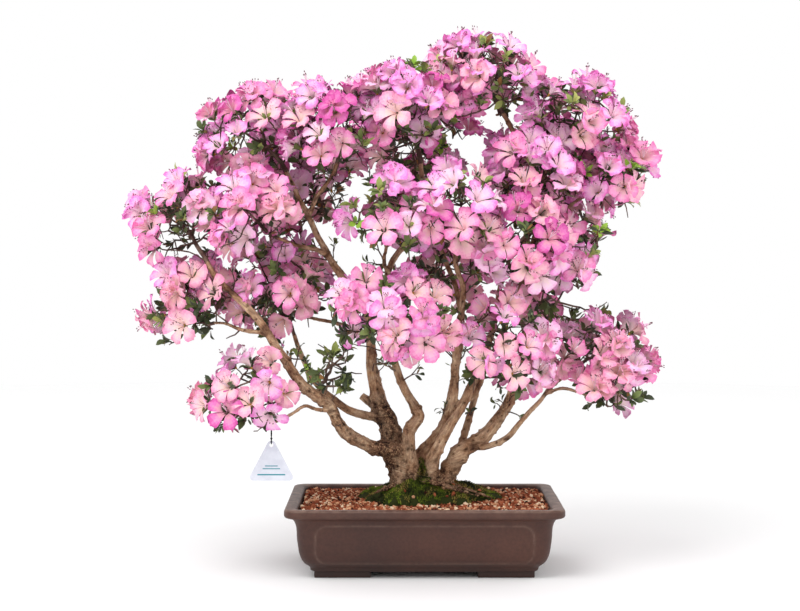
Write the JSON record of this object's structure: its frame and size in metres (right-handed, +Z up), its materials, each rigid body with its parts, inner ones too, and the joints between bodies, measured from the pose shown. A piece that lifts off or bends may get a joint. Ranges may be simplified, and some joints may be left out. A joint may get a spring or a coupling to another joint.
{
  "type": "azalea bonsai in pot",
  "caption": "Flowering azalea bonsai: a clump of bare stems fans out from a mossy foot to an open crown of pink blossom, in a low rectangular clay pot with out-turned lip and corner feet.",
  "frame": {"origin": "middle of the whole plant's bounding box seen from above, at the level of the underside of the pot's feet", "axes": "+X along the pot's long side, to the right as seen from the front; +Y towards the back; +Z up"},
  "size_m": [0.7171, 0.4241, 0.7047],
  "materials": {
    "unglazed_clay": "matte",
    "soil_grains": "rough",
    "moss": "rough",
    "bark": "rough",
    "petals_and_leaves": "matte",
    "tag_board": "satin",
    "tie_cord": "matte"
  },
  "bodies": {
    "root": {"pot": "unglazed_clay", "soil": "soil_grains", "moss_mound": "moss", "trunk_foot": "bark", "stem_front_left": "bark", "stem_rough_left": "bark", "stem_elbowed": "bark", "stem_middle": "bark", "stem_right_middle": "bark", "stem_right": "bark", "stem_back_right": "bark", "stem_back_left": "bark", "stem_back_middle": "bark", "stem_far_right": "bark", "cut_snag": "bark", "bough_left_inner": "bark", "branch_tagged": "bark", "bough_left_low": "bark", "bough_left_shoulder": "bark", "bough_upper_middle": "bark", "bough_front_low": "bark", "bough_front_left": "bark", "bough_front_right": "bark", "bough_right_middle": "bark", "bough_right_shoulder": "bark", "bough_upper_right": "bark", "bough_right_skirt": "bark", "bough_back_left_low": "bark", "bough_back_low": "bark", "bough_back_right_low": "bark", "blossom_upper_left": "petals_and_leaves", "blossom_upper_middle": "petals_and_leaves", "blossom_top": "petals_and_leaves", "blossom_apex": "petals_and_leaves", "blossom_upper_right": "petals_and_leaves", "blossom_right_shoulder": "petals_and_leaves", "blossom_right_inner": "petals_and_leaves", "blossom_left_shoulder": "petals_and_leaves", "blossom_far_left": "petals_and_leaves", "blossom_left_low": "petals_and_leaves", "blossom_tagged": "petals_and_leaves", "blossom_low_spray": "petals_and_leaves", "blossom_left_inner": "petals_and_leaves", "blossom_front_left": "petals_and_leaves", "blossom_front_middle": "petals_and_leaves", "blossom_front_low": "petals_and_leaves", "blossom_middle_right": "petals_and_leaves", "blossom_right_middle": "petals_and_leaves", "blossom_front_right": "petals_and_leaves", "blossom_right_low": "petals_and_leaves", "blossom_right_skirt": "petals_and_leaves", "blossom_back_left": "petals_and_leaves", "blossom_back_top": "petals_and_leaves", "blossom_back_right": "petals_and_leaves", "blossom_back_left_low": "petals_and_leaves", "blossom_back_low": "petals_and_leaves", "blossom_back_right_low": "petals_and_leaves", "plant_tag": "tag_board", "tag_tie": "tie_cord"}
  },
  "joints": []
}
